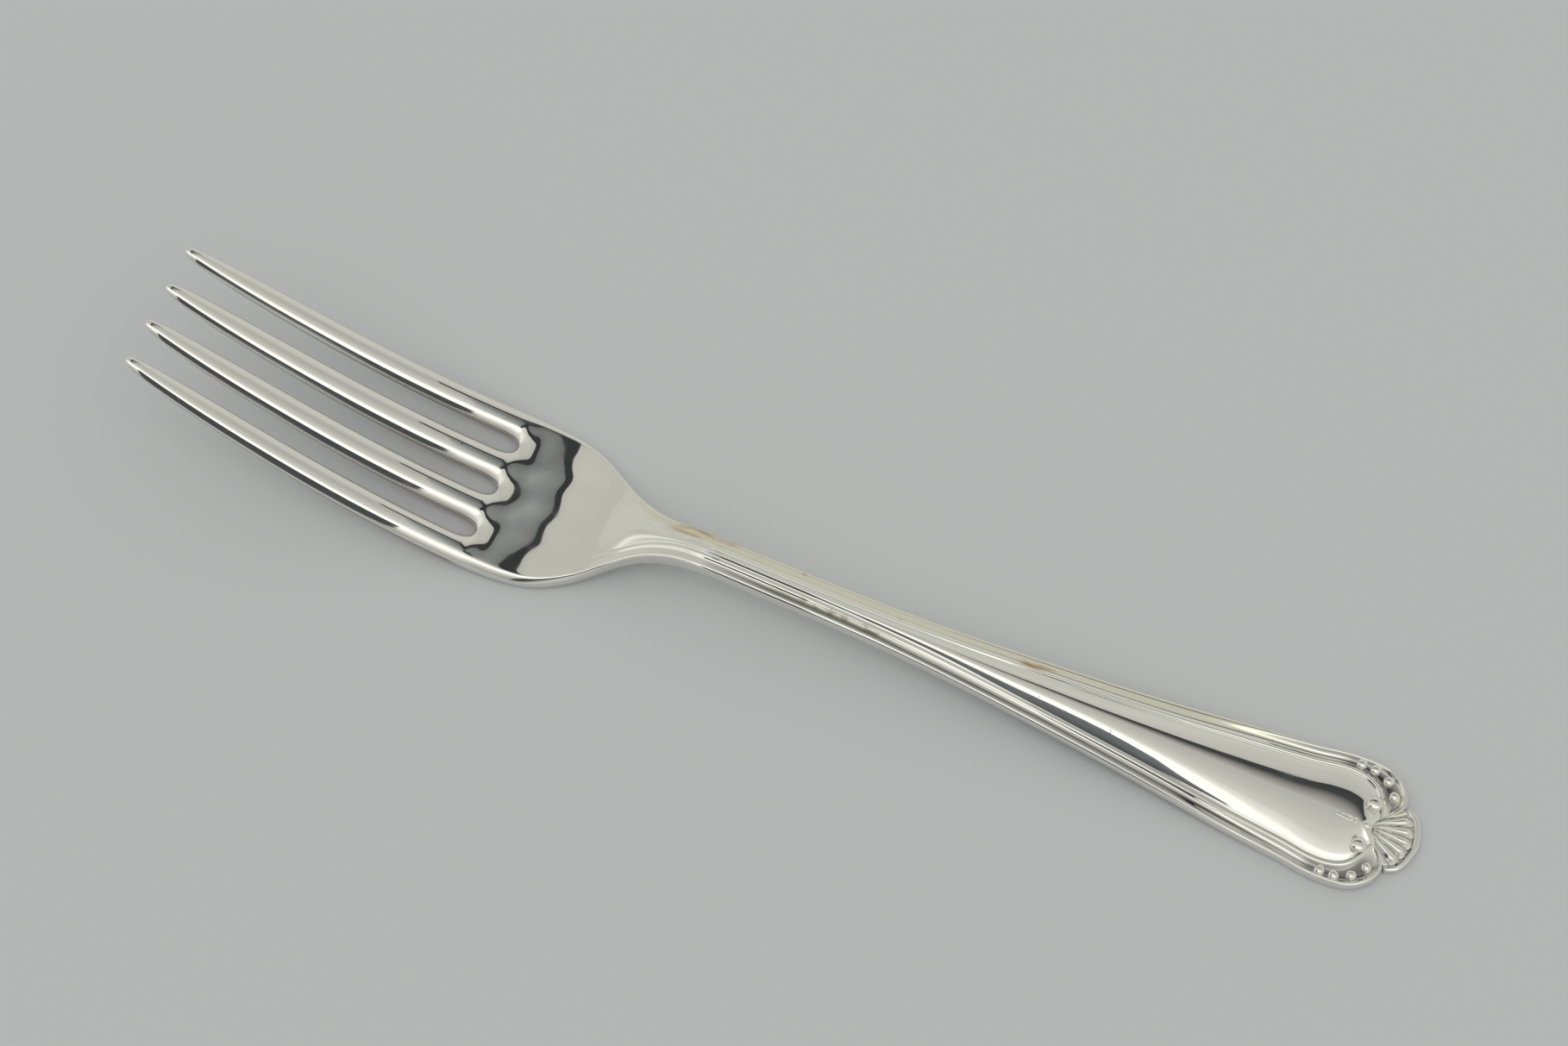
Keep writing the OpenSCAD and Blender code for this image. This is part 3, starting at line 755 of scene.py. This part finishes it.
def shell_point(step, ring, top):
    """Place of a vertex of the shell: step counts round the fan and ring counts out from the hub."""
    s = 2 * step / FAN_STEPS - 1
    share = RADII[ring] / RADII[RIM]
    outer = along(OUTLINE, abs(s) * FAN_HALF[-1][1])
    radius = RADII[ring] * lerp(1.0, outer / RADII[RIM], share ** 3)
    # Flutes crowd at the hub and swing out in an S
    swing = FLUTE_SWING * math.sin(math.pi * share) * (1 - abs(s))
    turn = s * along(FAN_HALF, RADII[ring]) * (1 - swing)
    x = HUB_X + radius * math.cos(math.radians(turn))
    y = radius * math.sin(math.radians(turn))
    if not top:
        return in_frame(x, y, RIM_BACK.get(ring, 0.0))
    inside = EDGE_STEPS / FAN_STEPS * 2
    reach = 1 - inside
    body = SHELL_BODY + HUB_RISE * ease(1 - share * HUB_STEEP)
    if ring == RIM:
        z = RIM_EDGE
    elif RADII[ring] > LOBE_END:
        z = RIM_FOOT + RIM_RISE * math.sin(math.pi * min(1.0, (RADII[ring] - LOBE_END) / RIM_WIDTH))
    elif abs(s) < reach:
        # From -1 to 1 across each flute
        u = (s / reach + 1) / 2 * FLUTES
        u = 2 * (u - math.floor(min(u, FLUTES - 1e-6))) - 1
        lobe = max(0.0, (RADII[ring] - LOBE_START) / (LOBE_END - LOBE_START))
        crown = math.sqrt(max(0.0, 1 - u * u - lobe * lobe))
        z = body - FLUTE_BOTTOM + FLUTE_RISE * crown * ease(share / FLUTES_START)
    else:
        z = body + SIDE_RISE * math.sin(math.pi * (1 - abs(s)) / inside)
    return in_frame(x, y, z)


def make_shell():
    """The shell from a grid whose rows are its rings and whose columns are the steps round the fan."""
    o = make_grid(RIM, FAN_STEPS)
    mesh = o.data
    in_edit(o)
    extrude_top()
    places = list(zip(stored(mesh, "row"), stored(mesh, "column")))
    for v, (ring, step) in zip(mesh.vertices, places):
        v.co = shell_point(step, ring, v.select)
    store(mesh, "patina", [
        GROOVE_PATINA * (ring in GROOVE_RINGS and (step - EDGE_STEPS) % FLUTE_STEPS == 0
                         or ring == RIM_GROOVE) for ring, step in places])
    for name in ("row", "column"):
        mesh.attributes.remove(mesh.attributes[name])
    return finish_mesh(o, 1)


HUB, HUB_PLACE = (2.2, 1.3, 0.9), (HUB_X - 0.7, 0.0, 1.95)
shell = join([make_shell(), *domes("hub", HUB, [HUB_PLACE])])
set_piece(shell, "shell_metal", SILVER, "shell")

# Camera at the photo's angle
AZIMUTH, ELEVATION, ROLL = [math.radians(degrees) for degrees in (23.007, 64.004, 0.113)]
TARGET = in_frame(97.715, 12.827, 0)
DISTANCE = 731.99 * MM
SENSOR = 36.0
PHOTO_WIDTH, FOCAL_LENGTH = 1818, 5560.0
back = Vector((math.sin(AZIMUTH) * math.cos(ELEVATION), -math.cos(AZIMUTH) * math.cos(ELEVATION),
               math.sin(ELEVATION)))
level = Vector((math.cos(AZIMUTH), math.sin(AZIMUTH), 0))
upward = back.cross(level)
right = math.cos(ROLL) * level + math.sin(ROLL) * upward
up = -math.sin(ROLL) * level + math.cos(ROLL) * upward
turned = Matrix((right, up, back)).transposed().to_4x4()
camera_data = bpy.data.cameras.new("camera")
camera_data.lens = SENSOR * FOCAL_LENGTH / PHOTO_WIDTH
camera_data.sensor_width = SENSOR
camera_data.clip_end = 10
camera = bpy.data.objects.new("camera", camera_data)
camera.matrix_world = Matrix.Translation(TARGET + back * DISTANCE) @ turned
bpy.context.scene.collection.objects.link(camera)
bpy.context.scene.camera = camera

# Pale floor, a little under the fork
paper = bpy.data.materials.new("pale_paper")
paper.use_nodes = True
paper_shader = paper.node_tree.nodes["Principled BSDF"]
paper_shader.inputs["Base Color"].default_value = (0.668, 0.688, 0.722, 1)
paper_shader.inputs["Roughness"].default_value = 0.9
bpy.ops.object.select_all(action='DESELECT')
bpy.ops.mesh.primitive_plane_add(size=4, location=(0, 0, -0.02 * MM))
floor = bpy.context.object
floor.name = "floor"
floor.data.materials.append(paper)

# Cards over the fork that only its polish sees, at these heights and in these tints
CARD_HEIGHT = 150.0
LOW_CARD = 60.0
COOL = (0.88, 0.95, 1.0)
WARM = (1.0, 0.98, 0.93)
NEUTRAL = (0.96, 1.0, 0.99)


def card(name, corners, height=CARD_HEIGHT, tint=COOL):
    """A glowing card. Each corner is a place along, a place across and the brightness there."""
    bpy.ops.object.select_all(action='DESELECT')
    bpy.ops.mesh.primitive_plane_add(size=1)
    o = bpy.context.object
    o.name = name
    # The plane's corners and the card's corners are matched in their order round the middle
    places = [v.co for v in o.data.vertices]
    order = sorted(range(4), key=lambda i: math.atan2(places[i].y, places[i].x))
    middle = (sum(c[0] for c in corners) / 4, sum(c[1] for c in corners) / 4)
    corners = sorted(corners, key=lambda c: math.atan2(c[1] - middle[1], c[0] - middle[0]))
    shade = o.data.attributes.new("shade", 'FLOAT', 'POINT')
    for i, (x, y, brightness) in zip(order, corners):
        o.data.vertices[i].co = in_frame(x, y, height)
        shade.data[i].value = brightness
    m = bpy.data.materials.new(name)
    m.use_nodes = True
    nodes, links = m.node_tree.nodes, m.node_tree.links
    nodes.clear()
    glow = nodes.new("ShaderNodeEmission")
    glow.inputs["Color"].default_value = (*tint, 1)
    strength = nodes.new("ShaderNodeAttribute")
    strength.attribute_name = "shade"
    links.new(strength.outputs["Fac"], glow.inputs["Strength"])
    links.new(glow.outputs[0], nodes.new("ShaderNodeOutputMaterial").inputs["Surface"])
    o.data.materials.append(m)
    o.visible_camera = False
    o.visible_diffuse = False
    o.visible_shadow = False


def strip(name, near, far, points, tint=COOL):
    """A row of low cards along points, shading from near to far.

    Each point is a place along, a place across and half the strip's width there.
    """
    for i, ((x0, y0, a), (x1, y1, b)) in enumerate(zip(points, points[1:])):
        corners = [(x0, y0 - a, near), (x1, y1 - b, near), (x1, y1 + b, far), (x0, y0 + a, far)]
        card("%s_%d" % (name, i), corners, LOW_CARD, tint)


def sheet(name, x0, x1, y0, y1, brightness, height=CARD_HEIGHT, tint=COOL):
    """A plain card between two places along and two places across."""
    card(name, [(x, y, brightness) for x in (x0, x1) for y in (y0, y1)], height, tint)


# Dark cards that make the dark lines along the tines
sheet("tines_dark", 62, 100, -104, -50, 0.08)
sheet("tines_dark_below", 60, 92, -480, -104, 0.08)
card("tines_dark_fading", [(92, -480, 0.08), (92, -104, 0.08), (118, -480, 0.5), (118, -104, 0.5)])
# The panel's dark lines: one along its near side, and one that widens along its far side
NEAR_LINE = [(112, -42, 7), (128, -39, 12), (142, -42, 17), (150, -38, 17), (158, -31, 14),
             (166, -25, 10), (176, -21, 3)]
strip("panel_near_dark", 0.07, 0.2, NEAR_LINE)
FAR_LINE = [(131, 33, 1), (139, 37, 2.5), (146, 43.5, 4.2), (154, 47, 5), (161, 48.5, 5),
            (168, 48.5, 5), (175, 47.5, 5), (181, 47.5, 5.5), (190, 48, 6), (205, 48, 7)]
strip("panel_far_dark", 0.07, 0.05, FAR_LINE)
strip("panel_far_grey", 0.46, 0.09, [(x, y - 2.2 * half, 1.2 * half) for x, y, half in FAR_LINE], WARM)
# The palm's wavy band: dark on its edges and grey inside
sheet("palm_dark", 32, 42.5, 12, 104, 0.045)
card("palm_grey", [(42.5, 12, 0.3), (62, 12, 0.66), (62, 104, 0.26), (42.5, 104, 0.1)], tint=NEUTRAL)
card("palm_far_dark", [(33, 104, 0.05), (72, 112, 0.05), (72, 138, 0.05), (33, 138, 0.05)])
# This one keeps the dark card out of the neck's crest
sheet("neck_pale", 62, 82, 2, 55, 0.56, LOW_CARD, WARM)

# Light: a bright band overhead that falls off to both sides, in degrees from straight up
SKY_SPAN = 100
SKY = [(-100, 0.25), (-60, 0.4), (-35, 0.65), (-20, 1.05), (-14, 1.35), (-4, 1.2), (0, 0.85),
       (6, 0.66), (17, 0.57), (24, 0.52), (31, 0.48), (38, 0.48), (47, 0.58), (62, 0.64), (80, 0.6),
       (100, 0.5)]
# Along the fork the band fades to a plain pale room: (degrees, share of the room)
ROOM_SPAN = 90
ROOM = [(-75, 1), (-60, 0.55), (-18, 0.55), (-12, 0), (28, 0), (48, 1)]
PALE = 0.62
world = bpy.data.worlds.new("studio")
bpy.context.scene.world = world
world.use_nodes = True
tree = world.node_tree
background = tree.nodes["Background"]
background.inputs["Strength"].default_value = 1.0
direction = tree.nodes.new("ShaderNodeSeparateXYZ")
tree.links.new(tree.nodes.new("ShaderNodeTexCoord").outputs["Generated"], direction.inputs[0])


def light_ramp(axis, span, stops, interpolation):
    """Colours by how far a direction leans from straight up along an axis, within span degrees."""
    lean = tree.nodes.new("ShaderNodeMath")
    lean.operation = 'ARCTAN2'
    spread = tree.nodes.new("ShaderNodeMapRange")
    spread.inputs["From Min"].default_value = math.radians(-span)
    spread.inputs["From Max"].default_value = math.radians(span)
    ramp = tree.nodes.new("ShaderNodeValToRGB")
    ramp.color_ramp.interpolation = interpolation
    fill_ramp(ramp.color_ramp, [((degrees + span) / (2 * span), color) for degrees, color in stops])
    tree.links.new(direction.outputs[axis], lean.inputs[0])
    tree.links.new(direction.outputs["Z"], lean.inputs[1])
    tree.links.new(lean.outputs[0], spread.inputs["Value"])
    tree.links.new(spread.outputs["Result"], ramp.inputs["Fac"])
    return ramp.outputs["Color"]


warm_sky = [(degrees, (v, v * 0.995, v * 0.94)) for degrees, v in SKY]
band = light_ramp("Y", SKY_SPAN, warm_sky, 'EASE')
room = light_ramp("X", ROOM_SPAN, [(degrees, (v, v, v)) for degrees, v in ROOM], 'LINEAR')
blend = tree.nodes.new("ShaderNodeMix")
blend.data_type = 'RGBA'
blend.inputs["B"].default_value = (PALE, PALE * 0.995, PALE * 0.93, 1)
tree.links.new(room, blend.inputs["Factor"])
tree.links.new(band, blend.inputs["A"])
tree.links.new(blend.outputs["Result"], background.inputs["Color"])
bpy.context.scene.view_settings.view_transform = 'Standard'
